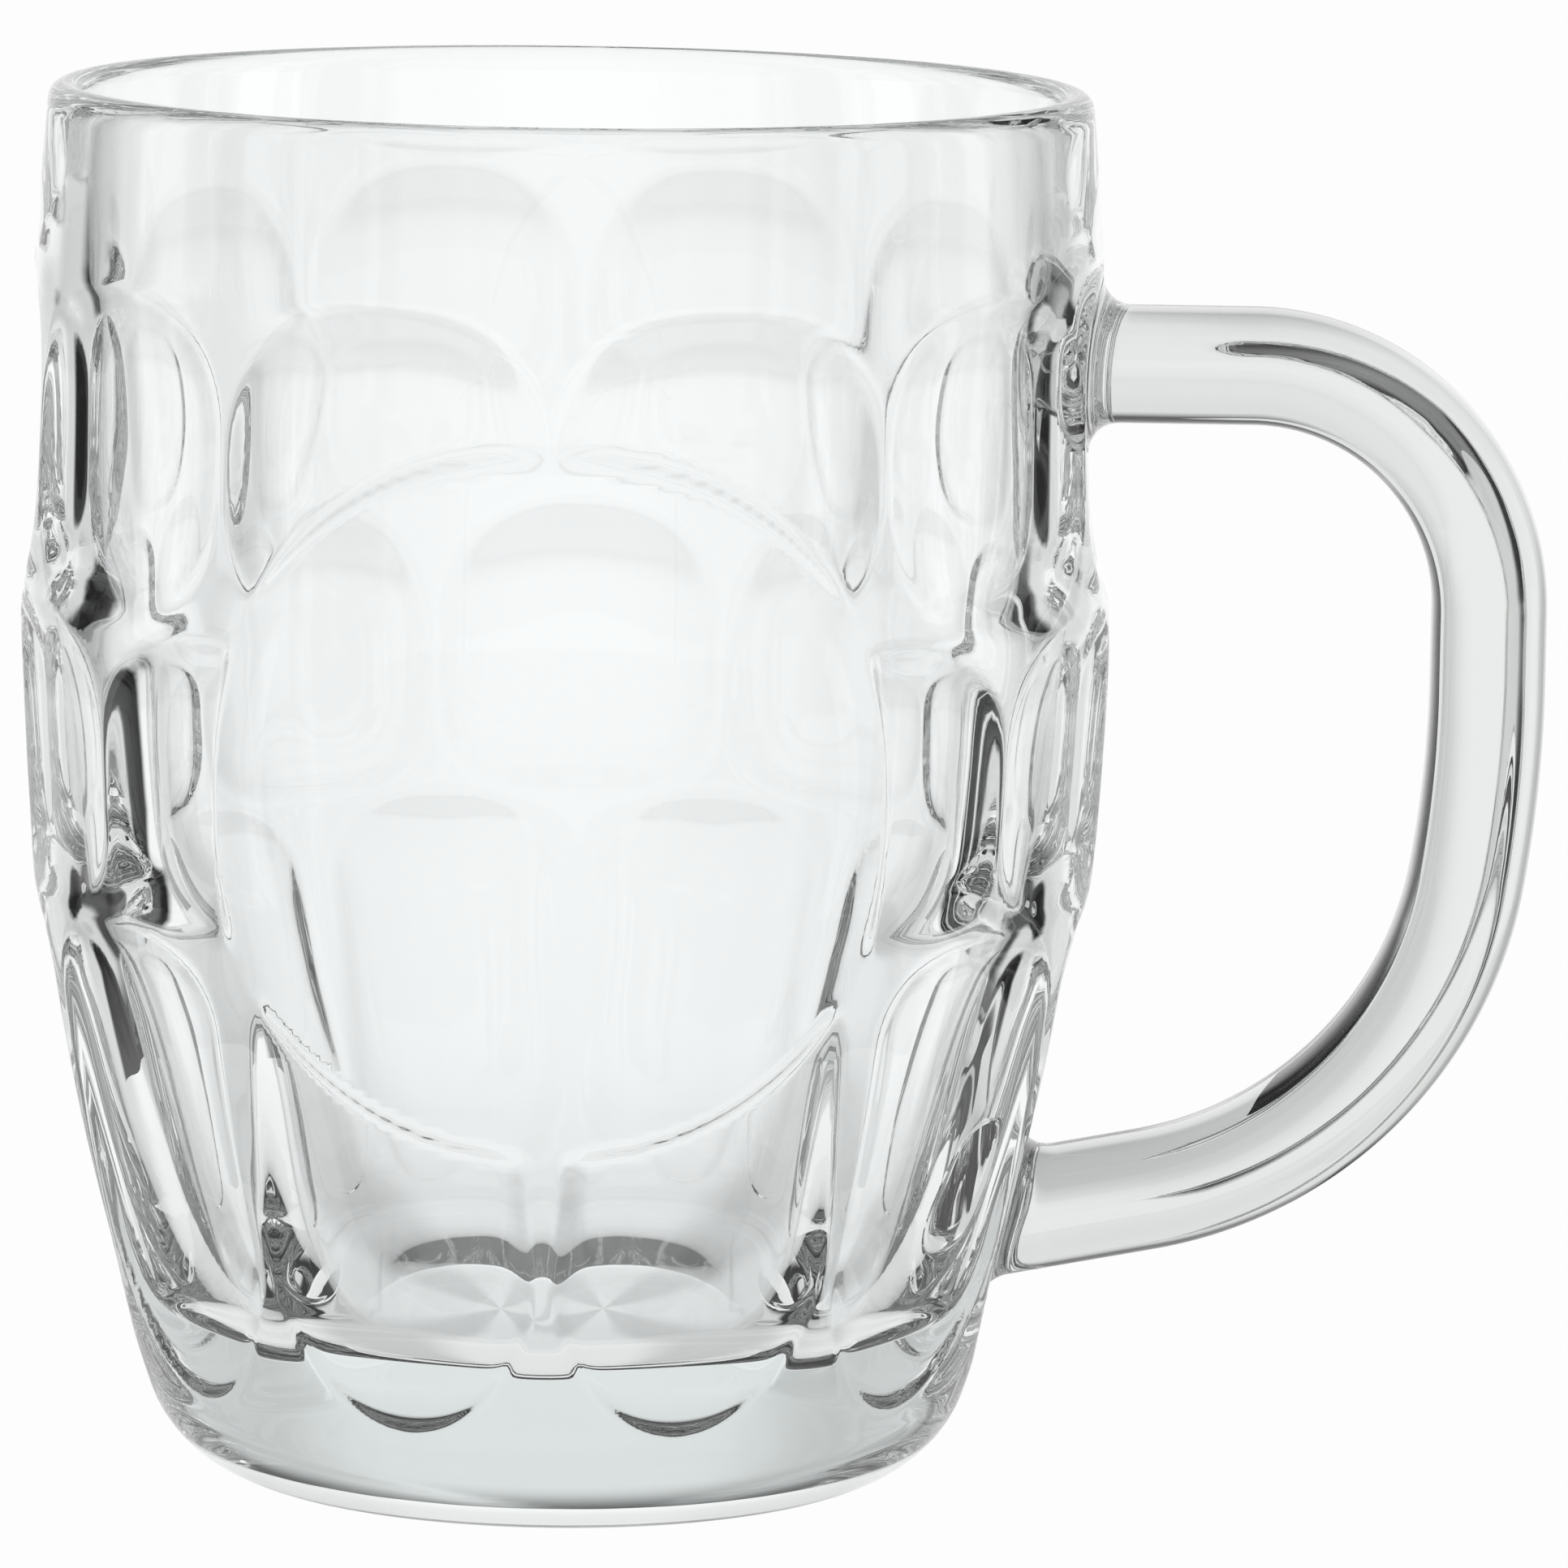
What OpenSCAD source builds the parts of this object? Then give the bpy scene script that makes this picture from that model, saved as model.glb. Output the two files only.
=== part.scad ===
// Dimpled glass beer mug: a pressed bowl with a thick base, and a glass handle
// that is fused on at its two flared roots.
// The origin is the middle of the resting face and +Z is up. The plain round
// panel faces -Y, and the handle stands out towards +X.

/* [Barrel] */
// Height from the table to the top of the rim
bowl_h = 122; // [116:1:128]
// Diameter of the barrel at its widest place
bowl_d = 95; // [90:0.5:100]
// Height of the widest place above the table
widest_z = 75; // [70:1:80]
// Radius of the barrel's curve above the widest place
upper_arc_r = 480; // [380:10:700]
// Radius of the barrel's curve below the widest place
lower_arc_r = 200; // [180:5:240]
// Radius of the rounded heel between the wall and the resting face
heel_r = 11.5; // [9:0.5:13]
// Thickness of the glass at the rounded rim
rim_t = 3; // [2.4:0.1:3.6]

/* [Cavity] */
// Thickness of the wall at the barrel's widest place, measured outside the dimples
wall_t = 5.5; // [4.5:0.1:6.5]
// Thickness of the solid glass base
floor_t = 15; // [12:0.5:18]
// Radius of the cavity wall's curve below the widest place
cavity_arc_r = 124; // [110:2:160]
// Radius of the rounded corner between the cavity wall and its floor
cavity_corner_r = 7; // [5:0.5:9]

/* [Foot] */
// Diameter of the shallow hollow under the base
foot_hollow_d = 42; // [30:1:46]
// Depth of the shallow hollow under the base
foot_hollow_h = 1; // [0.5:0.1:1.5]

/* [Dimples] */
// Number of dimples round the mug in each row
columns = 10; // [9:1:11]
// Height of the middle of the upper row
upper_row_z = 92.3; // [91:0.5:94]
// Height of an upper dimple
upper_dimple_h = 28; // [24:0.5:28]
// Height of the middle of the middle row
middle_row_z = 65.3; // [65:0.1:65.6]
// Height of a middle dimple
middle_dimple_h = 25.6; // [22:0.5:26]
// Greatest width of an upper or a middle dimple
dimple_w = 28; // [24:0.5:28.5]
// Depth of an upper or a middle dimple at its middle
dimple_depth = 2; // [1.6:0.1:2.3]
// Height of the middle of the lower row of long flutes
lower_row_z = 31.2; // [31:0.1:31.6]
// Height of a long flute
flute_h = 42; // [38:0.5:42]
// Width of a long flute
flute_w = 24.4; // [20:0.2:24.6]
// Depth of a long flute at its middle
flute_depth = 2.2; // [1.8:0.1:2.4]

/* [Panel] */
// Diameter of the plain round panel left uncut on the front
panel_d = 60; // [52:1:62]
// Height of the middle of the round panel
panel_z = 65.2; // [63:0.1:67]

/* [Handle] */
// Thickness of the handle in the plane of its loop
handle_t = 10; // [8.5:0.1:11]
// Width of the handle across the plane of its loop
handle_w = 13.5; // [12:0.1:15]
// Corner radius of the handle's section
handle_corner_r = 4; // [3:0.1:4.2]
// Height of the middle of the upper arm, below the rim
rim_to_arm = 23.5; // [22:0.5:26]
// Space for the fingers, from the widest place of the barrel to the grip
finger_gap = 28; // [25:0.5:34]
// Radius of the upper bend, at the middle of the glass
upper_bend_r = 21; // [18:0.5:23]
// Length of the straight stretch of the grip under the upper bend
grip_straight = 6.2; // [3:0.1:9]
// Radius of the grip's slight curve
grip_arc_r = 107; // [80:1:140]
// Angle that the grip's slight curve turns through
grip_arc_angle = 9.3; // [6:0.1:12]
// Height of the middle of the glass where the lower bend ends
lower_bend_z = 25.2; // [24:0.2:27]
// Slope of the lower arm where it runs into the bowl, from the horizontal
lower_arm_slope = 6; // [3:0.5:10]
// Extra glass on each side of the handle where its roots flare into the bowl
root_flare = 2.2; // [1.5:0.1:2.6]
// Length of each root's flare outside the barrel
root_flare_l = 3; // [2:0.2:5]

/* [Hidden] */
$fn = 96;
glass = [0.84, 0.9, 0.88];
bowl_r = bowl_d / 2;
cavity_r = bowl_r - wall_t;
rim_r = rim_t / 2;
overrun = 1;
hair = 0.01;

// The rim's roll is a circle that touches the upper arc from inside, so its
// middle lies on an arc with the same centre
upper_centre_x = bowl_r - upper_arc_r;
rim_z = bowl_h - rim_r - hair;
rim_x = upper_centre_x + sqrt(pow(upper_arc_r - rim_r, 2) - pow(rim_z - widest_z, 2));
rim_touch_z = widest_z + (rim_z - widest_z) * upper_arc_r / (upper_arc_r - rim_r);
rim_half = sqrt(pow(rim_r, 2) - pow(rim_touch_z - rim_z, 2));

// Shape of the three rows: height of the middle, height, width, depth, and the
// barrel arc that each row is cut into
row_z = [upper_row_z, middle_row_z, lower_row_z];
row_h = [upper_dimple_h, middle_dimple_h, flute_h];
row_w = [dimple_w, dimple_w, flute_w];
row_depth = [dimple_depth, dimple_depth, flute_depth];
row_arc_r = [upper_arc_r, lower_arc_r, lower_arc_r];
pitch = 360 / columns;
// The middle row is staggered by half a pitch, and one of its dimples would
// lie under the round panel
row_turn_share = [0.5, 0, 0.5];
panel_azimuth = -90;

// Places along the middle of the handle
arm_z = bowl_h - rim_to_arm;
grip_x = bowl_r + finger_gap + handle_t / 2;
upper_bend_x = grip_x - upper_bend_r;
grip_arc_z = arm_z - upper_bend_r - grip_straight;
lower_bend_angle = 90 - lower_arm_slope - grip_arc_angle;
grip_end_x = grip_x - grip_arc_r * (1 - cos(grip_arc_angle));
grip_end_z = grip_arc_z - grip_arc_r * sin(grip_arc_angle);
lower_bend_r = (grip_end_z - lower_bend_z) / (cos(lower_arm_slope) - sin(grip_arc_angle));
lower_centre_x = grip_end_x - lower_bend_r * cos(grip_arc_angle);
lower_centre_z = grip_end_z + lower_bend_r * sin(grip_arc_angle);
lower_bend_x = lower_centre_x + lower_bend_r * sin(lower_arm_slope);
// Both arms run on into the bowl as far as half its radius, and are then cut
// off by the bowl's own surface
arm_end_x = bowl_r / 2;
bend_lap = 0.02;
// A root's flare starts this far inside the arm's surface
root_sink = 0.4;
foot_slope_w = 4;

// Radius of the barrel at a height
function barrel_r(z) =
    let (arc_r = z > widest_z ? upper_arc_r : lower_arc_r)
    bowl_r - arc_r + sqrt(pow(arc_r, 2) - pow(z - widest_z, 2));

// Radius of the wheel whose cut is h high and depth deep on an arc
function wheel_r(h, depth, arc_r) =
    pow(h / 2, 2) / (2 * (depth - pow(h / 2, 2) / (2 * arc_r)));

// Rectangle between two corners
module rectangle(low_x, low_z, high_x, high_z) {
    polygon([[low_x, low_z], [high_x, low_z], [high_x, high_z], [low_x, high_z]]);
}

// Half of a round body below its widest place: a side arc, and a corner arc
// between the side and the flat bottom. The corner arc is a hair larger than
// one that only touches them, so that the outlines cross.
module lower_half(widest_r, side_r, corner_r, bottom_z) {
    centre_x = widest_r - side_r;
    rise = widest_z - bottom_z - corner_r;
    corner_x = centre_x + sqrt(pow(side_r - corner_r, 2) - pow(rise, 2));
    touch_z = bottom_z + corner_r - corner_r * rise / (side_r - corner_r);
    intersection() {
        translate([centre_x, widest_z]) circle(r = side_r, $fn = 720);
        rectangle(0, touch_z, widest_r + overrun, widest_z);
    }
    rectangle(0, bottom_z, corner_x, touch_z);
    intersection() {
        translate([corner_x, bottom_z + corner_r]) circle(r = corner_r + hair);
        rectangle(0, bottom_z, widest_r + overrun, widest_z);
    }
}

// Half section of the barrel as if it were solid, up to where the rim's roll
// begins
module barrel_section() {
    lower_half(bowl_r, lower_arc_r, heel_r, 0);
    intersection() {
        translate([upper_centre_x, widest_z]) circle(r = upper_arc_r, $fn = 1440);
        rectangle(0, widest_z, bowl_r + overrun, rim_touch_z);
    }
}

// Half section of the hollow barrel with its rolled rim
module bowl_section() {
    difference() {
        barrel_section();
        cavity_section();
    }
    translate([rim_x, rim_z]) circle(r = rim_r + hair);
}

// Half section of the cavity: straight sides above the widest place
module cavity_section() {
    lower_half(cavity_r, cavity_arc_r, cavity_corner_r, floor_t);
    polygon([
        [0, widest_z],
        [cavity_r, widest_z],
        [rim_x - rim_half, rim_touch_z],
        [rim_x - rim_half, bowl_h + overrun],
        [0, bowl_h + overrun],
    ]);
}

// One cut of a wheel that lies level across the mug: a slice of a cylinder
// whose face sinks depth into the barrel at the row's height
module dimple_cut(row) {
    z = row_z[row];
    arc_r = row_arc_r[row];
    cut_r = wheel_r(row_h[row], row_depth[row], arc_r);
    tilt = asin((z - widest_z) / arc_r);
    translate([barrel_r(z), 0, z])
        rotate([0, -tilt, 0])
            rotate([90, 0, 0])
                linear_extrude(height = row_w[row], center = true)
                    intersection() {
                        translate([cut_r - row_depth[row], 0]) circle(r = cut_r, $fn = 720);
                        translate([-row_depth[row] - overrun, -row_h[row]])
                            square([row_depth[row] + 2 * overrun, 2 * row_h[row]]);
                    }
}

// All dimples, less the glass that is kept for the round panel
module dimple_cuts() {
    for (row = [0 : len(row_z) - 1])
        for (column = [0 : columns - 1])
            difference() {
                rotate([0, 0, panel_azimuth + (column + row_turn_share[row]) * pitch])
                    dimple_cut(row);
                translate([0, 0, panel_z])
                    rotate([90, 0, 0])
                        cylinder(h = bowl_d, d = panel_d, $fn = 180);
            }
}

// The barrel with its dimples, as if it had no cavity
module bowl_body() {
    difference() {
        rotate_extrude($fn = 180) barrel_section();
        dimple_cuts();
    }
}

module bowl() {
    color(glass)
        difference() {
            rotate_extrude($fn = 180) bowl_section();
            dimple_cuts();
            // Shallow hollow under the base, with a sloping edge
            translate([0, 0, -foot_hollow_h])
                cylinder(
                    h = 2 * foot_hollow_h,
                    d1 = foot_hollow_d + 2 * foot_slope_w,
                    d2 = foot_hollow_d - 2 * foot_slope_w,
                    $fn = 180
                );
        }
}

// Section of the handle: x is its thickness in the plane of the loop, and y
// its width
module handle_section() {
    corner_x = handle_t / 2 - handle_corner_r;
    corner_y = handle_w / 2 - handle_corner_r;
    square([handle_t, 2 * corner_y], center = true);
    square([2 * corner_x, handle_w], center = true);
    for (x = [-corner_x, corner_x])
        for (y = [-corner_y, corner_y])
            translate([x, y]) circle(r = handle_corner_r, $fn = 48);
}

// A bend of the handle about an axis along Y, from one angle below the
// horizontal to another, with a little more at each end on request
module handle_bend(x, z, r, from_angle, angle, more = 0) {
    translate([x, 0, z])
        rotate([0, from_angle - more, 0])
            rotate([-90, 0, 0])
                rotate_extrude(angle = angle + 2 * more, $fn = 180)
                    translate([r, 0]) handle_section();
}

// A straight arm from a place on the handle's middle line back into the bowl,
// with its flared root. The slope is the fall of the arm towards the bowl.
module handle_arm(x, z, slope) {
    arm_l = (x - arm_end_x) / cos(slope);
    flare_x = barrel_r(z) + root_flare_l;
    flare_l = (flare_x - arm_end_x) / cos(slope);
    translate([x, 0, z])
        rotate([0, -90 - slope, 0]) {
            linear_extrude(height = arm_l) handle_section();
            translate([0, 0, arm_l - flare_l])
                scale([1, handle_w / handle_t, 1])
                    root_cone(flare_l);
        }
}

// A cone that starts just inside the arm's section, and is root_flare larger
// than it at the barrel's surface
module root_cone(length) {
    start_r = handle_t / 2 - root_sink;
    end_r = handle_t / 2 + root_flare;
    cylinder(h = root_flare_l, r1 = start_r, r2 = end_r);
    translate([0, 0, root_flare_l]) cylinder(h = length - root_flare_l, r = end_r);
}

module handle_sweep() {
    handle_arm(upper_bend_x, arm_z, 0);
    handle_bend(upper_bend_x, arm_z - upper_bend_r, upper_bend_r, -90, 90);
    translate([grip_x, 0, grip_arc_z])
        linear_extrude(height = grip_straight) handle_section();
    handle_bend(grip_x - grip_arc_r, grip_arc_z, grip_arc_r, 0, grip_arc_angle);
    // The lower bend laps a hair over both of its tilted neighbours, so that
    // the three are one piece of glass
    handle_bend(
        lower_centre_x,
        lower_centre_z,
        lower_bend_r,
        grip_arc_angle,
        lower_bend_angle,
        bend_lap
    );
    handle_arm(lower_bend_x, lower_bend_z, lower_arm_slope);
}

module handle() {
    color(glass)
        difference() {
            handle_sweep();
            bowl_body();
        }
}

bowl();
handle();
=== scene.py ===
# Dimpled glass beer mug: a pressed bowl and the handle that is fused to it, both made as
# fine glass meshes over the solid frame. Sizes are in millimetres until they go into a mesh.
import math

import bpy
import numpy as np
from mathutils import Matrix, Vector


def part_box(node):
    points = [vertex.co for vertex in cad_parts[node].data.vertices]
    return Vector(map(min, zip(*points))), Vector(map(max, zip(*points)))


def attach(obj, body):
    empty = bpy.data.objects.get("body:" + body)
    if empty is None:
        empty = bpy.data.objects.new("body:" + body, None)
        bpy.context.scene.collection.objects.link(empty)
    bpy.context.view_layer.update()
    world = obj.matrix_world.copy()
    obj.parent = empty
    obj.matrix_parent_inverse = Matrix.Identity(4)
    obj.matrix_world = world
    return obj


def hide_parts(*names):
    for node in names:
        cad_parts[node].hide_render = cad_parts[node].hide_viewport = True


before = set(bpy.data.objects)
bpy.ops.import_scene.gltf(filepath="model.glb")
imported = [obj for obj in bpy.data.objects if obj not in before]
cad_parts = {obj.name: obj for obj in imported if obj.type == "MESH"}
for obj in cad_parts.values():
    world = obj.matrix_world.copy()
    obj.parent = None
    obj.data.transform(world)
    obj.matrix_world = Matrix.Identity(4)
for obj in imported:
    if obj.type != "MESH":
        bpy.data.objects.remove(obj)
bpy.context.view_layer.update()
print(f"frame loaded: {len(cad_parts)} nodes")

mm = 0.001
fineSteps = 2001  # points along a curve before its rows or columns are shared out
solvePasses = 12  # rounds in which a point is brought onto the bowl


def frameReach(node, axis):
    # How far a node of the solid frame reaches along an axis, to a tenth of a millimetre
    return round(float(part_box(node)[1][axis]) / mm, 1)


bowl = {
    "height": frameReach("bowl", 2),
    "widest": 2 * frameReach("bowl", 0),
    "widestHeight": 75.0,
    "upperArc": 480.0,  # radius of the barrel's curve above the widest place
    "lowerArc": 200.0,  # and below it
    "heel": 11.5,
    "rim": 3.0,  # thickness of the rolled rim
    "wall": 5.5,
    "floor": 15.0,
    "cavityArc": 124.0,
    "cavityCorner": 7.0,
    "hollowRadius": 21.0,  # shallow hollow under the base
    "hollowDepth": 1.0,
    "columns": 10,  # dimples in a row
}

# The three rows of dimples. Widths and depths are measured on the barrel; turn is the
# place of one dimple's middle, in pitches, from the front.
upperRow = {
    "middle": 92.35, "halfHeight": 13.95, "halfWidth": 14.35, "depth": 1.9,
    "turn": 0.5, "topCorner": 2.6, "lowCorner": 2.6, "bevel": 3.6,
}
middleRow = {
    "middle": 65.3, "halfHeight": 12.8, "halfWidth": 14.4, "depth": 1.9,
    "turn": 0.0, "topCorner": 2.5, "lowCorner": 3.4, "bevel": 3.6,
}
flutes = {
    "middle": 31.2, "halfHeight": 21.1, "halfWidth": 12.25, "depth": 2.05,
    "turn": 0.5, "archCorner": 8.5, "endBevel": 2.3, "topBevel": 5,
    "edge": 0.3, "edgeWidth": 0.12, "wallSlope": 0.55, "softness": 0.3,
}
panel = {"middle": 65.1, "halfWidth": 28.8, "halfHeight": 29.75, "corner": 2.25, "step": 1.3}
edgeSoftness = 0.22  # how far the fire-polished edges are rounded


def barrelRadius(z):
    # Two arcs that meet upright at the widest place: r = R - A + sqrt(A^2 - (z - z0)^2)
    rise = z - bowl["widestHeight"]
    arc = np.where(rise > 0, bowl["upperArc"], bowl["lowerArc"])
    return bowl["widest"] / 2 - arc + np.sqrt(arc**2 - rise**2)


def softAbove(value, softness):
    # Smooth form of max(value, 0): half of value plus the root of value^2 + softness^2
    return 0.5 * (value + np.sqrt(value**2 + softness**2))


def softLower(a, b, softness):
    # Smooth form of min(a, b)
    return a - softAbove(a - b, softness)


def acrossDimple(angle, z, turn):
    # Distance along the barrel from the nearest dimple's middle line
    pitch = 2 * math.pi / bowl["columns"]
    local = np.mod(angle - turn * pitch + pitch / 2, pitch) - pitch / 2
    return local * barrelRadius(z)


def roundDimple(angle, z, row):
    # depth = d (1 - rho^b), where rho is a squared-off circle: (|u|^n + |v|^n)^(1/n)
    u = np.abs(acrossDimple(angle, z, row["turn"]) / row["halfWidth"])
    v = (z - row["middle"]) / row["halfHeight"]
    corner = np.where(v > 0, row["topCorner"], row["lowCorner"])
    rho = (u**corner + np.abs(v) ** corner) ** (1 / corner)
    return row["depth"] * (1 - rho ** row["bevel"])


def longFlute(angle, z, row):
    # Flat facet, f = d (1 - low^b) (1 - up^c) - x^2 / 2r, that runs out on the barrel below
    # with a firm edge, f + e (1 - exp(-f / w)), and, where that is less, the slope times the
    # distance inside an arched outline
    across = acrossDimple(angle, z, row["turn"])
    up = z - row["middle"]
    cornerX = np.abs(across) - (row["halfWidth"] - row["archCorner"])
    cornerZ = up - (row["halfHeight"] - row["archCorner"])
    outside = np.hypot(np.maximum(cornerX, 0), np.maximum(cornerZ, 0))
    arch = row["archCorner"] - outside - np.minimum(np.maximum(cornerX, cornerZ), 0)
    share = up / row["halfHeight"]
    lowFade = 1 - np.maximum(-share, 0) ** row["endBevel"]
    topFade = 1 - np.maximum(share, 0) ** row["topBevel"]
    facet = row["depth"] * (lowFade * topFade) - across**2 / (2 * barrelRadius(z))
    facet += row["edge"] * (1 - np.exp(-np.maximum(facet, 0) / row["edgeWidth"]))
    return softLower(facet, row["wallSlope"] * arch, row["softness"])


def panelShare(angle, z):
    # 0 on the plain round panel and 1 outside it, with a smooth step between
    x = barrelRadius(z) * np.sin(angle)
    p = panel["corner"]
    rise = (z - panel["middle"]) / panel["halfHeight"]
    rho = (np.abs(x / panel["halfWidth"]) ** p + np.abs(rise) ** p) ** (1 / p)
    step = np.clip((rho - 1) * panel["halfHeight"] / panel["step"] + 0.5, 0, 1)
    share = step * step * (3 - 2 * step)
    return np.where(np.cos(angle) > 0, share, 1.0)


def outerRadius(angle, z):
    # The barrel less the deepest dimple there. The angle is 0 at the front, towards the
    # handle when positive.
    depth = np.maximum(roundDimple(angle, z, upperRow), roundDimple(angle, z, middleRow))
    depth = np.maximum(depth, longFlute(angle, z, flutes))
    return barrelRadius(z) - softAbove(depth, edgeSoftness) * panelShare(angle, z)


# How finely the bowl is meshed. A crowding is how much closer columns or rows lie at a
# place, and a turn is in degrees.
bowlMesh = {
    "outerColumns": 444,  # a multiple of three
    "angleSteps": 7201,
    "ridgeCrowding": 1.2,
    "ridgeTurn": 2.2,
    "panelCrowding": 0.9,
    "panelTurn": 44,
    "panelFade": 2,
    "outerRows": 176,
    "fluteEndCrowding": 1.6,
    "fluteEndHeight": 12,
    "fluteEndSpread": 3.5,
    "hollowRows": 10,
    "hollowStart": 0.08,  # radius of the innermost row, as a share of the hollow's
    "heelRows": 13,
    "rimRows": 12,
    "upperInnerRows": 12,
    "lowerInnerRows": 16,
    "cornerRows": 12,
    "floorRows": 9,
}


def columnAngles(count):
    # Columns lie closer at the ridges, every half pitch, and over the front panel
    fine = np.linspace(-math.pi, math.pi, bowlMesh["angleSteps"])
    half = math.pi / bowl["columns"]
    ridge = np.abs(np.mod(fine + half / 2, half) - half / 2)
    ridgeTurn, panelTurn, panelFade = (
        math.radians(bowlMesh[key]) for key in ("ridgeTurn", "panelTurn", "panelFade"))
    density = 1 + bowlMesh["ridgeCrowding"] * np.exp(-((ridge / ridgeTurn) ** 2))
    density += bowlMesh["panelCrowding"] / (1 + np.exp((np.abs(fine) - panelTurn) / panelFade))
    total = np.concatenate([[0], np.cumsum((density[1:] + density[:-1]) / 2)])
    return np.interp(np.arange(count) / count * total[-1], total, fine)


def arcPoints(centre, radius, start, end, count):
    # Points on a circle from one angle to another, in degrees from the outward direction
    turn = np.radians(np.linspace(start, end, count))
    return np.stack([centre[0] + radius * np.cos(turn), centre[1] + radius * np.sin(turn)], axis=1)


def lowerCorner(widest, arc, corner, bottom):
    # Middle of the corner arc that touches both the side arc and the flat bottom, and the
    # angle below the outward direction at which it meets the side
    rise = bowl["widestHeight"] - bottom - corner
    x = widest - arc + math.sqrt((arc - corner) ** 2 - rise**2)
    return (x, bottom + corner), -math.degrees(math.asin(rise / (arc - corner)))


def wallHeights(start, end):
    # Rows of the outer wall, closer at the flutes' lower ends
    fine = np.linspace(start, end, fineSteps)
    fromEnd = (fine - bowlMesh["fluteEndHeight"]) / bowlMesh["fluteEndSpread"]
    density = 1 + bowlMesh["fluteEndCrowding"] * np.exp(-(fromEnd**2))
    total = np.cumsum(density) - density[0]
    return np.interp(np.linspace(0, total[-1], bowlMesh["outerRows"])[1:-1], total, fine)


def cavityPath(rimZ, innerRimX):
    # Inside of the bowl from the rim to the floor's middle: a parabola that leans out to
    # the rim, the side arc, the corner arc and the flat floor
    cavity = bowl["widest"] / 2 - bowl["wall"]
    arc, corner = bowl["cavityArc"], bowl["cavityCorner"]
    cornerMiddle, cornerTouch = lowerCorner(cavity, arc, corner, bowl["floor"])
    sideTop = rimZ - bowl["rim"] / 2
    sideZ = np.linspace(sideTop, bowl["widestHeight"], bowlMesh["upperInnerRows"])
    rise = (sideZ - bowl["widestHeight"]) / (rimZ - bowl["widestHeight"])
    side = np.stack([cavity + (innerRimX - cavity) * rise**2, sideZ], axis=1)
    touchZ = cornerMiddle[1] + corner * math.sin(math.radians(cornerTouch))
    lowZ = np.linspace(bowl["widestHeight"], touchZ, bowlMesh["lowerInnerRows"])[1:]
    lowX = cavity - arc + np.sqrt(arc**2 - (bowl["widestHeight"] - lowZ) ** 2)
    low = np.stack([lowX, lowZ], axis=1)
    bend = arcPoints(cornerMiddle, corner, cornerTouch, -90, bowlMesh["cornerRows"])[1:]
    floorX = np.linspace(cornerMiddle[0], 0, bowlMesh["floorRows"])[1:-1]
    floor = np.stack([floorX, np.full(len(floorX), bowl["floor"])], axis=1)
    return np.concatenate([side, low, bend, floor])


def bowlPaths():
    # Three stretches of the half section: underside, outside up to the rim, and inside
    r = bowl["widest"] / 2
    rimRadius = bowl["rim"] / 2
    rimZ = bowl["height"] - rimRadius
    reach = bowl["upperArc"] - rimRadius
    rimX = r - bowl["upperArc"] + math.sqrt(reach**2 - (rimZ - bowl["widestHeight"]) ** 2)
    rimTouch = math.degrees(math.asin((rimZ - bowl["widestHeight"]) / reach))

    hollowShare = np.linspace(bowlMesh["hollowStart"], 1, bowlMesh["hollowRows"])
    hollow = hollowShare * bowl["hollowRadius"]
    hollowZ = bowl["hollowDepth"] * (1 - (hollow / bowl["hollowRadius"]) ** 2)
    underside = np.stack([hollow, hollowZ], axis=1)

    heelMiddle, heelTouch = lowerCorner(r, bowl["lowerArc"], bowl["heel"], 0)
    heel = arcPoints(heelMiddle, bowl["heel"], -90, heelTouch, bowlMesh["heelRows"])
    rimStart = rimZ + rimRadius * math.sin(math.radians(rimTouch))
    wallZ = wallHeights(heel[-1, 1], rimStart)
    wall = np.stack([barrelRadius(wallZ), wallZ], axis=1)
    rim = arcPoints((rimX, rimZ), rimRadius, rimTouch, 180, bowlMesh["rimRows"])
    outside = np.concatenate([heel, wall, rim])
    wallRows = (len(heel), len(heel) + len(wall))
    return underside, outside, cavityPath(rimZ, rimX - rimRadius), wallRows


def gridFaces(first, rows, columns):
    # Quads between the rows of one closed grid whose points start at first
    row, column = np.meshgrid(np.arange(rows - 1), np.arange(columns), indexing="ij")
    beside = (column + 1) % columns
    a = first + row * columns
    b = a + columns
    return np.stack([a + column, a + beside, b + beside, b + column], axis=-1).reshape(-1, 4)


def addObject(name, data):
    added = bpy.data.objects.new(name, data)
    bpy.context.collection.objects.link(added)
    return added


def meshPiece(name, points, faceLists, materials, slotLists):
    # One mesh object from points in millimetres and lists of faces, turned outwards if the
    # volume that the faces enclose comes out negative
    corners = np.concatenate([faces.ravel() for faces in faceLists])
    sizes = np.concatenate([np.full(len(faces), faces.shape[1]) for faces in faceLists])
    starts = np.concatenate([[0], np.cumsum(sizes)[:-1]])
    volume = 0.0
    for faces in faceLists:
        a = points[faces[:, 0]]
        for k in range(1, faces.shape[1] - 1):
            b, c = points[faces[:, k]], points[faces[:, k + 1]]
            volume += np.einsum("ij,ij->", a, np.cross(b, c)) / 6
    if volume < 0:
        corners = np.concatenate([faces[:, ::-1].ravel() for faces in faceLists])
    mesh = bpy.data.meshes.new(name)
    mesh.vertices.add(len(points))
    mesh.vertices.foreach_set("co", (points * mm).ravel())
    mesh.loops.add(len(corners))
    mesh.loops.foreach_set("vertex_index", corners.astype(np.int32))
    mesh.polygons.add(len(sizes))
    mesh.polygons.foreach_set("loop_start", starts.astype(np.int32))
    mesh.polygons.foreach_set("material_index", np.concatenate(slotLists).astype(np.int32))
    mesh.polygons.foreach_set("use_smooth", np.ones(len(sizes), dtype=bool))
    mesh.update(calc_edges=True)
    mesh.validate()
    for material in materials:
        mesh.materials.append(material)
    triangles = int((sizes - 2).sum())
    print(f"{name}: {len(points)} points, {triangles} triangles, {abs(volume) / 1000:.1f} cm3")
    return addObject(name, mesh)


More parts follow.
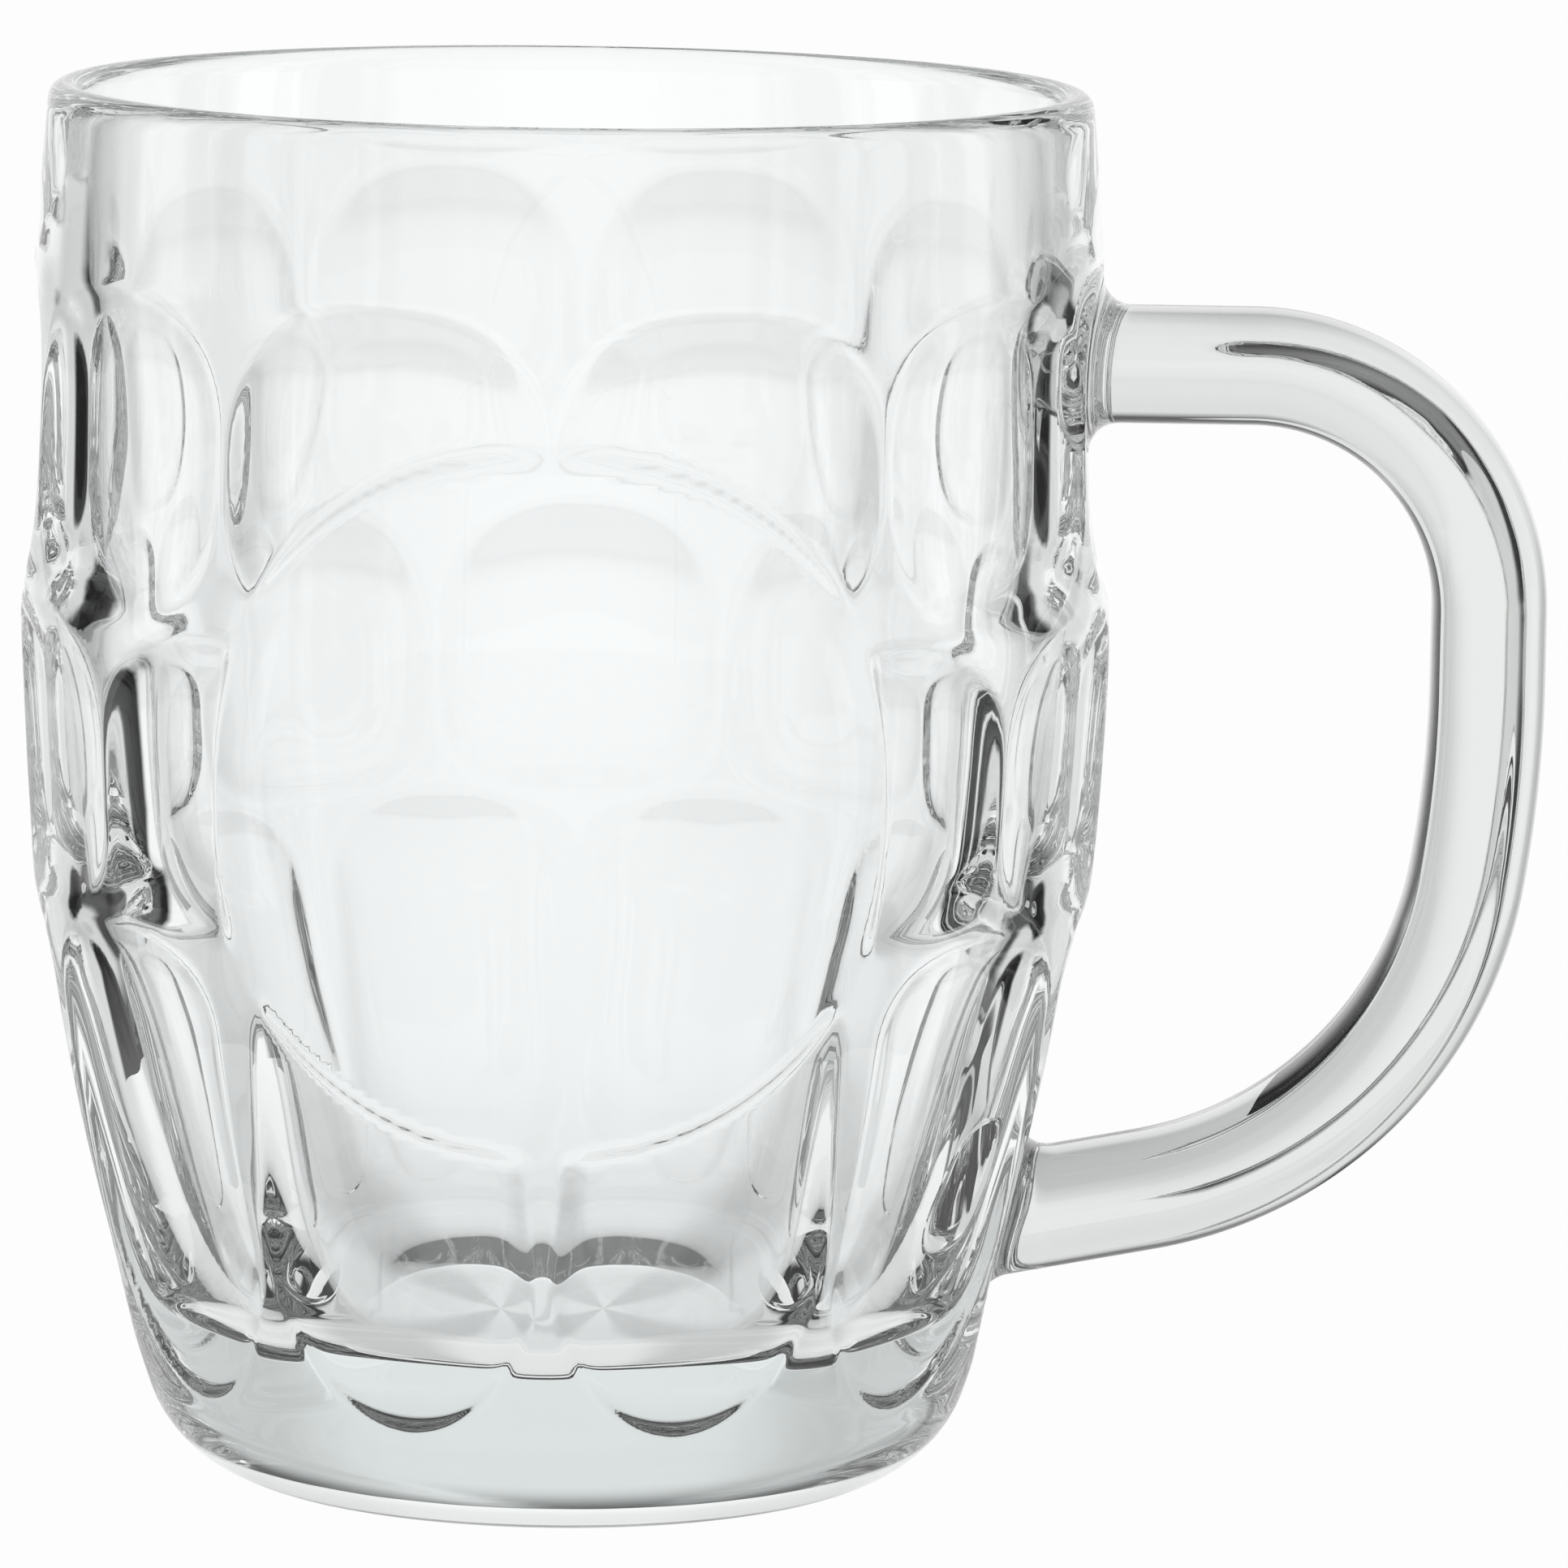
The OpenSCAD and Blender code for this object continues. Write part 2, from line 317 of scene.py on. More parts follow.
handle = {
    "thickness": 10.0,
    "width": 13.5,
    "squareness": 3.2,  # 2 is an ellipse, more is squarer
    "armHeight": 98.5,
    "farSide": frameReach("handle", 0),  # x of the grip's outer face
    "upperBend": 21.0,
    "straight": 6.2,
    "gripArc": 107.0,
    "gripAngle": 9.3,
    "lowerHeight": 25.2,  # where the lower bend ends
    "lowerSlope": 6.0,
    "upperRootX": 53.5,  # where the roots' stretches begin
    "lowerRootX": 51.5,
    "flare": 2.8,  # radius of the flare into the bowl
    "rootOverlap": 0.25,  # how far a root's edge covers the bowl's see-through patch
    "rootSide": 0.5,  # sine of the angle past which the bowl can have such a patch
    "grooveFalls": [0, 45, 90, 135, 175],  # the loop's fall in degrees
    "groovePlaces": [0.4, 0.95, 1.77, 1.6, 1.3],  # and the fine groove's place there, outward
    "grooveOuter": [0.08, 0.08, 0.08, 0.25, 0.6],  # width of its outer flank there
    "grooveInner": [0.32, 0.72, 0.4, 0.08, 0.1],  # and of its inner flank
    "grooveSlope": 1.35,  # of the wider flank
    "grooveSoftness": 0.05,  # of its edges and its bottom, as a share of its depth
    "grooveFade": 5.0,  # length over which it dies out at the roots
    "grooveLeast": 0.01,  # share of its size that is left there
}

# How finely the handle is meshed
handleMesh = {
    "around": 200,
    "step": 0.55,  # length between rings
    "outerShare": 0.4,  # share of the columns on the outer side of the groove
    "grooveCrowding": 1.5,  # power by which columns close up towards the groove
    "rootRings": 26,
    "rootCrowding": 1.6,  # power by which rings close up towards the bowl
    "firstReach": 6.0,  # first guess of a root's length
    "capRings": 10,
}


def handlePath():
    # Middle line of the grip: level arm, bend, short straight, slight curve and long bend,
    # as arcs that follow on. Each point has its direction's fall in degrees.
    h, step = handle, handleMesh["step"]
    gripX = h["farSide"] - h["thickness"] / 2
    topX = gripX - h["upperBend"]
    arcZ = h["armHeight"] - h["upperBend"] - h["straight"]
    gripAngle = math.radians(h["gripAngle"])
    slope = math.radians(h["lowerSlope"])
    endX = gripX - h["gripArc"] * (1 - math.cos(gripAngle))
    endZ = arcZ - h["gripArc"] * math.sin(gripAngle)
    bend = (endZ - h["lowerHeight"]) / (math.cos(slope) - math.sin(gripAngle))
    bendX = endX - bend * math.cos(gripAngle)
    bendZ = endZ + bend * math.sin(gripAngle)
    lastFall = math.degrees(math.acos((h["lowerRootX"] - bendX) / bend))

    count = max(2, int((topX - h["upperRootX"]) / step))
    x = np.linspace(h["upperRootX"], topX, count)
    line = [np.stack([x, np.full(count, h["armHeight"]), np.zeros(count)], axis=1)]
    turn = np.linspace(0, 90, int(math.pi / 2 * h["upperBend"] / step))[1:]
    x = topX + h["upperBend"] * np.sin(np.radians(turn))
    z = h["armHeight"] - h["upperBend"] * (1 - np.cos(np.radians(turn)))
    line.append(np.stack([x, z, turn], axis=1))
    z = np.linspace(h["armHeight"] - h["upperBend"], arcZ, int(h["straight"] / step))[1:]
    line.append(np.stack([np.full(len(z), gripX), z, np.full(len(z), 90.0)], axis=1))
    arcs = (
        (h["gripArc"], 0, h["gripAngle"], gripX - h["gripArc"], arcZ),
        (bend, h["gripAngle"], lastFall, bendX, bendZ),
    )
    for radius, start, end, middleX, middleZ in arcs:
        count = int(math.radians(end - start) * radius / step)
        turn = np.linspace(start, end, count)[1:]
        x = middleX + radius * np.cos(np.radians(turn))
        z = middleZ - radius * np.sin(np.radians(turn))
        line.append(np.stack([x, z, 90 + turn], axis=1))
    return np.concatenate(line)


def sectionOffsets(place):
    # Squared-off ellipse for each ring: outward offset in the plane of the loop, and
    # sideways offset. The columns lie closer towards the groove's place.
    turn = np.linspace(0, math.pi, fineSteps)
    power = 2 / handle["squareness"]
    fineOut = np.sign(np.cos(turn)) * np.abs(np.cos(turn)) ** power * handle["thickness"] / 2
    fineSide = np.sin(turn) ** power * handle["width"] / 2
    length = np.append(0, np.cumsum(np.hypot(np.diff(fineOut), np.diff(fineSide))))
    toGroove = np.interp(-place, -fineOut, length)[:, None]
    share = np.linspace(0, 1, handleMesh["around"] // 2 + 1)
    split, crowding = handleMesh["outerShare"], handleMesh["grooveCrowding"]
    before = 1 - (1 - np.minimum(share / split, 1)) ** crowding
    after = np.maximum((share - split) / (1 - split), 0) ** crowding
    reach = toGroove * before + (length[-1] - toGroove) * after
    return np.interp(reach, length, fineOut), np.interp(reach, length, fineSide)


def grooveSide(line, place, outward, sideways):
    # Groove along the side away from the panel: two straight flanks, one wide and one
    # narrow, depth (1 - distance / flank width), dying out towards the roots
    toRoot = np.minimum(*(np.hypot(*(line[:, :2] - line[end, :2]).T) for end in (0, -1)))
    fade = np.clip(toRoot / handle["grooveFade"], handle["grooveLeast"], 1)
    outer, inner = (
        (fade * np.interp(line[:, 2], handle["grooveFalls"], handle[flank]))[:, None]
        for flank in ("grooveOuter", "grooveInner"))
    depth = handle["grooveSlope"] * np.maximum(outer, inner)
    distance = outward - place[:, None]
    away = np.where(distance > 0, distance / outer, -distance / inner)
    side = sideways - depth * softAbove(1 - away, handle["grooveSoftness"])
    side[:, [0, -1]] = 0
    return side


def onBowl(y, z):
    # x of the bowl's outside towards the handle, by repeated substitution of the angle
    x = np.full(np.shape(y), bowl["widest"] / 2)
    for _ in range(solvePasses):
        x = np.sqrt(np.maximum(outerRadius(np.arctan2(x, -y), z) ** 2 - y**2, 1))
    return x


def rootRings(start, direction, upward, outward, sideways):
    # Rings from the arm's first section to the bowl's surface. A ring's points move out by
    # a round fillet, R - sqrt(R^2 - (R - t)^2), at the distance t from the wall.
    size = np.hypot(outward, sideways)
    flare = handle["flare"]
    endOut = outward + flare * outward / size
    endSide = sideways + flare * sideways / size
    length = np.full(len(outward), handleMesh["firstReach"])
    for _ in range(solvePasses):
        z = start[1] + direction[1] * length + upward[1] * endOut
        x = onBowl(endSide, z)
        length = (x - start[0] - upward[0] * endOut) / direction[0]
    toWall = np.linspace(1, 0, handleMesh["rootRings"]) ** handleMesh["rootCrowding"]
    share = (1 - toWall)[1:, None]
    away = length * (1 - share)
    grow = np.maximum(flare - away, 0)
    fillet = flare - np.sqrt(np.maximum(flare**2 - grow**2, 0))
    out = outward + fillet * outward / size
    side = sideways + fillet * sideways / size
    along = length * share
    x = start[0] + direction[0] * along + upward[0] * out
    z = start[1] + direction[1] * along + upward[1] * out
    x[-1] = onBowl(side[-1], z[-1])
    rings = np.stack([x, side, z], axis=-1)

    shrink = np.linspace(1, 0, handleMesh["capRings"])[1:-1, None]
    middleZ = z[-1].mean()
    capY = side[-1] * shrink
    capZ = middleZ + (z[-1] - middleZ) * shrink
    cap = np.stack([onBowl(capY, capZ), capY, capZ], axis=-1)
    centre = (float(onBowl(0.0, middleZ)), 0.0, middleZ)
    return rings, cap, centre


def handleSurface():
    # Closed rings from the middle of the upper root's face, round the loop, to the middle
    # of the lower one's. Also the two middles, the rows that bound the faces, and the
    # roots' edges on the bowl.
    line = handlePath()
    place = np.interp(line[:, 2], handle["grooveFalls"], handle["groovePlaces"])
    outward, sideways = sectionOffsets(place)
    grooved = grooveSide(line, place, outward, sideways)
    outward = np.concatenate([outward, outward[:, -2:0:-1]], axis=1)
    sideways = np.concatenate([grooved, -sideways[:, -2:0:-1]], axis=1)
    fall = np.radians(line[:, 2])[:, None]
    x = line[:, 0, None] + outward * np.sin(fall)
    z = line[:, 1, None] + outward * np.cos(fall)
    loop = np.stack([x, sideways, z], axis=-1)

    roots = []
    for end, sense in ((0, -1), (-1, 1)):
        turn = math.radians(line[end, 2])
        direction = (sense * math.cos(turn), -sense * math.sin(turn))
        upward = (math.sin(turn), math.cos(turn))
        roots.append(rootRings(line[end, :2], direction, upward, outward[end], sideways[end]))
    (upRings, upCap, upCentre), (lowRings, lowCap, lowCentre) = roots
    rings = np.concatenate([upCap[::-1], upRings[::-1], loop, lowRings, lowCap])
    capRows = (len(upCap), len(rings) - len(lowCap) - 1)
    return rings, (upCentre, lowCentre), capRows, (upRings[-1], lowRings[-1])


def buildHandle(materials, rings, centres, capRows):
    rows, around = rings.shape[:2]
    points = np.concatenate([rings.reshape(-1, 3), centres])
    quads = gridFaces(0, rows, around)
    row = np.repeat(np.arange(rows - 1), around)
    slots = np.where((row < capRows[0]) | (row >= capRows[1]), 1, 0)
    ring = np.arange(around)
    beside = (ring + 1) % around
    upFan = np.stack([np.full(around, rows * around), beside, ring], axis=1)
    last = (rows - 1) * around
    lowFan = np.stack([np.full(around, rows * around + 1), last + ring, last + beside], axis=1)
    fans = np.concatenate([upFan, lowFan])
    return meshPiece("mugHandle", points, [quads, fans], materials, [slots, np.ones(len(fans))])


def insideRoot(angle, z, edge):
    # True for places on the bowl's handle side that a root covers, by the direction from
    # the root's middle
    y = -outerRadius(angle, z) * np.cos(angle)
    middleZ = edge[:, 2].mean()
    turn = np.arctan2(edge[:, 2] - middleZ, edge[:, 1])
    order = np.argsort(turn)
    reach = np.hypot(edge[:, 1], edge[:, 2] - middleZ)[order]
    here = np.interp(np.arctan2(z - middleZ, y), turn[order], reach, period=2 * math.pi)
    near = np.hypot(y, z - middleZ) < here - handle["rootOverlap"]
    return near & (np.sin(angle) > handle["rootSide"])


def revolve(path, turn):
    # The path's radius and height carried round the axis: (r sin t, -r cos t, z)
    r, z = path[:, 0, None], path[:, 1, None]
    rise = np.broadcast_to(z, (len(path), len(turn)))
    return np.stack([r * np.sin(turn), -r * np.cos(turn), rise], axis=-1)


def buildBowl(materials, rootEdges):
    # The dimpled outside, with the underside and the inside joined on to every third column
    underside, outside, inside, (firstRow, lastRow) = bowlPaths()
    angles = columnAngles(bowlMesh["outerColumns"])
    coarse = angles[::3]
    under = revolve(underside, coarse)
    inner = revolve(inside, coarse)
    outer = revolve(outside, angles)
    r = outerRadius(angles[None, :], outside[firstRow:lastRow, 1][:, None])
    outer[firstRow:lastRow, :, 0] = r * np.sin(angles)
    outer[firstRow:lastRow, :, 1] = -r * np.cos(angles)

    n, m = len(coarse), len(angles)
    points = np.concatenate([
        under.reshape(-1, 3), outer.reshape(-1, 3), inner.reshape(-1, 3),
        [[0, 0, bowl["hollowDepth"]], [0, 0, bowl["floor"]]],
    ])
    outerStart = len(under) * n
    innerStart = outerStart + len(outer) * m
    pole = len(points) - 2
    quads = [
        gridFaces(0, len(under), n),
        gridFaces(outerStart, len(outer), m),
        gridFaces(innerStart, len(inner), n),
    ]
    column = np.arange(n)
    beside = (column + 1) % n

    def widen(coarseRow, fineRow):
        # Six-sided faces where one coarse column meets three fine ones
        return np.stack([
            coarseRow + column, coarseRow + beside, fineRow + (3 * column + 3) % m,
            fineRow + 3 * column + 2, fineRow + 3 * column + 1, fineRow + 3 * column,
        ], axis=1)

    lastUnder = (len(under) - 1) * n
    lastOuter = outerStart + (len(outer) - 1) * m
    lastInner = innerStart + (len(inner) - 1) * n
    joins = [widen(lastUnder, outerStart), widen(innerStart, lastOuter)[:, ::-1]]
    fans = [
        np.stack([np.full(n, pole), beside, column], axis=1),
        np.stack([np.full(n, pole + 1), lastInner + column, lastInner + beside], axis=1),
    ]

    faceAngle = (angles + np.append(angles[1:], angles[0] + 2 * math.pi)) / 2
    faceZ = (outside[1:, 1] + outside[:-1, 1]) / 2
    covered = np.zeros((len(outside) - 1, m), dtype=bool)
    for edge in rootEdges:
        covered |= insideRoot(faceAngle[None, :], faceZ[:, None], edge)
    slots = [np.zeros(len(quads[0])), covered.ravel().astype(int), np.zeros(len(quads[2]))]
    slots += [np.zeros(len(faces)) for faces in joins + fans]
    return meshPiece("mugBowl", points, quads + joins + fans, materials, slots)


def newMaterial(name):
    material = bpy.data.materials.new(name)
    material.use_nodes = True
    return material, material.node_tree.nodes, material.node_tree.links


def mathNode(nodes, links, operation, first, second=0.0):
    # A Math node whose inputs are sockets or plain numbers
    node = nodes.new("ShaderNodeMath")
    node.operation = operation
    for socket, value in zip(node.inputs, (first, second)):
        if hasattr(value, "links"):
            links.new(value, socket)
        else:
            socket.default_value = value
    return node.outputs[0]


def smoothNode(nodes, links, value, start, end, low, high):
    # A soft step from low to high while value goes from start to end. Ends may be sockets.
    node = nodes.new("ShaderNodeMapRange")
    node.interpolation_type = "SMOOTHSTEP"
    links.new(value, node.inputs["Value"])
    for name, number in (("From Min", start), ("From Max", end), ("To Min", low), ("To Max", high)):
        if hasattr(number, "links"):
            links.new(number, node.inputs[name])
        else:
            node.inputs[name].default_value = number
    return node.outputs["Result"]


def blendToSurface(nodes, links, share, first, second):
    # The material's surface: the first shader where share is 0, the second where it is 1
    blend = nodes.new("ShaderNodeMixShader")
    links.new(share, blend.inputs["Fac"])
    links.new(first, blend.inputs[1])
    links.new(second, blend.inputs[2])
    links.new(blend.outputs["Shader"], nodes["Material Output"].inputs["Surface"])


glass = {
    "clear": (0.968, 0.977, 0.977),  # where the glass is thin
    "handleClear": (0.8, 0.815, 0.8),  # the handle is one thick bar
    "deep": (0.62, 0.695, 0.685),  # where light has run far inside it
    "farLength": 0.07,  # metres inside the glass at which it shows its deep colour
    "refraction": 1.5,
    "waveHeight": 0.00003,  # of the slow waves left by pressing, in metres
    "waveScale": 90,
    "waveDetail": 1.5,
    "bounces": 32,  # light runs far inside thick glass
}


def glassMaterial(name, clearColour):
    # Clear pressed glass with slow waves in its surface. Light that comes to a face from
    # inside takes on the deep colour with the length of its way through the glass.
    material, nodes, links = newMaterial(name)
    place = nodes.new("ShaderNodeTexCoord")
    waves = nodes.new("ShaderNodeTexNoise")
    waves.inputs["Scale"].default_value = glass["waveScale"]
    waves.inputs["Detail"].default_value = glass["waveDetail"]
    bump = nodes.new("ShaderNodeBump")
    bump.inputs["Distance"].default_value = glass["waveHeight"]
    links.new(place.outputs["Object"], waves.inputs["Vector"])
    links.new(waves.outputs["Fac"], bump.inputs["Height"])
    clear = nodes["Principled BSDF"]
    deep = nodes.new("ShaderNodeBsdfPrincipled")
    for shader, colour in ((clear, clearColour), (deep, glass["deep"])):
        shader.inputs["Base Color"].default_value = (*colour, 1)
        shader.inputs["Roughness"].default_value = 0.0
        shader.inputs["IOR"].default_value = glass["refraction"]
        shader.inputs["Transmission Weight"].default_value = 1.0
        links.new(bump.outputs["Normal"], shader.inputs["Normal"])
    ray = nodes.new("ShaderNodeLightPath")
    face = nodes.new("ShaderNodeNewGeometry")
    length = nodes.new("ShaderNodeMapRange")
    length.inputs["From Max"].default_value = glass["farLength"]
    links.new(ray.outputs["Ray Length"], length.inputs["Value"])
    inside = mathNode(
        nodes, links, "MULTIPLY", length.outputs["Result"], face.outputs["Backfacing"])
    blendToSurface(nodes, links, inside, clear.outputs["BSDF"], deep.outputs["BSDF"])
    return material


def jointMaterial():
    # The buried face between the handle and the bowl, where the glass is one piece
    material, nodes, links = newMaterial("fusedJoint")
    nodes.remove(nodes["Principled BSDF"])
    clear = nodes.new("ShaderNodeBsdfTransparent")
    links.new(clear.outputs["BSDF"], nodes["Material Output"].inputs["Surface"])
    return material


bowlGlass = glassMaterial("bowlGlass", glass["clear"])
handleGlass = glassMaterial("handleGlass", glass["handleClear"])
fusedJoint = jointMaterial()
print("glass mixed")

handleRings, rootCentres, capRows, rootEdges = handleSurface()
mugBowl = buildBowl([bowlGlass, fusedJoint], rootEdges)
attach(mugBowl, "root")
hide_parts("bowl")
mugHandle = buildHandle([handleGlass, fusedJoint], handleRings, rootCentres, capRows)
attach(mugHandle, "root")
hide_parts("handle")
print("mug built")

# The staged room, in metres. Tones are strengths of light as glass finds them.
studio = {
    "floorSize": 3.6,  # from the middle to the edge
    "floorPoints": 64,
    "floorDrop": 0.0002,  # how far the floor lies below the foot
    "floorColour": (0.93, 0.93, 0.93),
    "floorRoughness": 0.9,
    "floorSeen": 0.98,  # share of plain white in what the camera sees of the floor
    "paintedShadowTone": 0.86,  # painted shadow in the floor's glow under the mug
    "paintedPoolTone": 1.05,  # painted light, the brightest glow of the floor, round the mug
    "farTone": 0.965,  # floor far away
    "poolStart": 0.14,  # radius at which the painted light round the mug is at its brightest
    "poolEnd": 0.75,  # up to which it stays so
    "farStart": 2.2,  # and from which it counts as far away
    "betweenShare": 0.74,  # share of the light that is left between the four lit directions
    "litTurn": 14,  # half width of a lit direction in degrees, and where its light has gone
    "dimTurn": 34,
    "wallTone": 0.93,  # wall above the far floor
    "wallStart": 0.25,  # sine of the height at which the far floor's tone has become the wall's
    "roofTone": 0.03,
    "roofStart": 0.28,  # sines of the heights at which the wall fades into the roof
    "roofEnd": 0.52,
    "backShare": 0.35,  # share of the wall's light behind the camera
    "backTurn": 0.3,  # sine of the turn either side of sideways in which it falls to that
    "cardRadius": 0.2,  # four bent dark cards stand round the mug
    "cardHeight": 0.4,
    "cardMiddle": 66,  # turn of their middles from the front and back, in degrees
    "cardReach": 15,  # half turn of a card
    "cardFade": 6,  # and of its soft edge
    "paintedCardShadow": 0.44,  # a dark strip, the card's painted shadow, lies on the floor from this share of its radius
    "cardRise": 0.001,  # just above the floor
    "cardPoints": 16,
    "cardTone": 0.02,
}


def litShare(nodes, links, parts):
    # 1 to the front, back, left and right, and less between them: the turn about Z is
    # folded into the half quarter from 0 to 45 degrees
    turn = mathNode(nodes, links, "ARCTAN2", parts.outputs["X"], parts.outputs["Y"])
    fold = mathNode(nodes, links, "PINGPONG", turn, math.pi / 4)
    start, end = math.radians(studio["litTurn"]), math.radians(studio["dimTurn"])
    return smoothNode(nodes, links, fold, start, end, 1.0, studio["betweenShare"])


def paintedFloorLight(nodes, links):
    # Painted light in the floor's glow as glass finds it: painted shadow under the mug, painted
    # light round it, a little less far away, and less between the four lit directions
    place = nodes.new("ShaderNodeTexCoord")
    radius = nodes.new("ShaderNodeVectorMath")
    radius.operation = "LENGTH"
    links.new(place.outputs["Object"], radius.inputs[0])
    parts = nodes.new("ShaderNodeSeparateXYZ")
    links.new(place.outputs["Object"], parts.inputs[0])
    # painted shadow under the mug, rising to painted light round it
    paintedShadowAndLight = smoothNode(nodes, links, radius.outputs["Value"], 0.0, studio["poolStart"],
                      studio["paintedShadowTone"], studio["paintedPoolTone"])
    far = smoothNode(nodes, links, radius.outputs["Value"], studio["poolEnd"], studio["farStart"],
                     1.0, studio["farTone"] / studio["paintedPoolTone"])
    shade = mathNode(nodes, links, "MULTIPLY", paintedShadowAndLight, far)
    return mathNode(nodes, links, "MULTIPLY", shade, litShare(nodes, links, parts))


def buildFloor():
    # Pale round floor. The camera finds it white, less the shadow that the mug casts on it.
    count, size = studio["floorPoints"], studio["floorSize"]
    turn = np.linspace(0, 2 * math.pi, count, endpoint=False)
    low = np.full(count, -studio["floorDrop"])
    rim = np.stack([size * np.cos(turn), size * np.sin(turn), low], axis=1)
    mesh = bpy.data.meshes.new("paleFloor")
    mesh.from_pydata(rim.tolist(), [], [list(range(count))])
    material, nodes, links = newMaterial("paleFloor")
    shader = nodes["Principled BSDF"]
    shader.inputs["Base Color"].default_value = (*studio["floorColour"], 1)
    shader.inputs["Roughness"].default_value = studio["floorRoughness"]
    shader.inputs["Specular IOR Level"].default_value = 0.0
    # glass finds the floor's glow, with painted shadow under the mug and painted light round it
    shade = paintedFloorLight(nodes, links)
    ray = nodes.new("ShaderNodeLightPath")
    direct = ray.outputs["Is Camera Ray"]
    strength = smoothNode(nodes, links, direct, 0.0, 1.0, shade, 1.0)
    glow = nodes.new("ShaderNodeEmission")
    links.new(strength, glow.inputs["Strength"])
    seen = mathNode(nodes, links, "MAXIMUM", direct, ray.outputs["Is Transmission Ray"])
    seen = mathNode(nodes, links, "MAXIMUM", seen, ray.outputs["Is Glossy Ray"])
    share = mathNode(nodes, links, "MULTIPLY", seen, studio["floorSeen"])
    blendToSurface(nodes, links, share, shader.outputs["BSDF"], glow.outputs["Emission"])
    mesh.materials.append(material)
    addObject("paleFloor", mesh)


def cardMaterial():
    # Dark in the middle of each card and see-through at its two upright edges
    material, nodes, links = newMaterial("darkCard")
    nodes.remove(nodes["Principled BSDF"])
    place = nodes.new("ShaderNodeTexCoord")
    parts = nodes.new("ShaderNodeSeparateXYZ")
    links.new(place.outputs["Object"], parts.inputs[0])
    across = mathNode(nodes, links, "ABSOLUTE", parts.outputs["X"])
    forward = mathNode(nodes, links, "ABSOLUTE", parts.outputs["Y"])
    turned = mathNode(nodes, links, "ARCTAN2", across, forward)
    away = mathNode(nodes, links, "SUBTRACT", turned, math.radians(studio["cardMiddle"]))
    away = mathNode(nodes, links, "ABSOLUTE", away)
    end = math.radians(studio["cardReach"])
    start = math.radians(studio["cardReach"] - studio["cardFade"])
    share = smoothNode(nodes, links, away, start, end, 1.0, 0.0)
    dark = nodes.new("ShaderNodeEmission")
    dark.inputs["Strength"].default_value = studio["cardTone"]
    clear = nodes.new("ShaderNodeBsdfTransparent")
    blendToSurface(nodes, links, share, clear.outputs["BSDF"], dark.outputs["Emission"])
    return material


def buildCards():
    # Four dark cards that only glass sees. Each stands bent round the mug. A dark strip on the
    # floor towards the mug, part of the card, is its painted shadow.
    material = cardMaterial()
    middle, reach, count = studio["cardMiddle"], studio["cardReach"], studio["cardPoints"]
    low = np.full(count, studio["cardRise"])
    high = np.full(count, studio["cardHeight"])
    faces = [[row + k, row + k + 1, row + count + k + 1, row + count + k]
             for row in (0, count) for k in range(count - 1)]
    for number, centre in enumerate((middle, 180 - middle, 180 + middle, 360 - middle)):
        turn = np.radians(np.linspace(centre - reach, centre + reach, count))
        line = studio["cardRadius"] * np.stack([np.sin(turn), np.cos(turn)], axis=1)
        points = np.concatenate([
            # the card's painted shadow, a dark strip on the floor
            np.column_stack([line * studio["paintedCardShadow"], low]),
            np.column_stack([line, low]),
            np.column_stack([line, high]),
        ])
        mesh = bpy.data.meshes.new(f"darkCard{number}")
        mesh.from_pydata(points.tolist(), [], faces)
        mesh.materials.append(material)
        card = addObject(f"darkCard{number}", mesh)
        card.visible_camera = False
        card.visible_diffuse = False
        card.visible_shadow = False


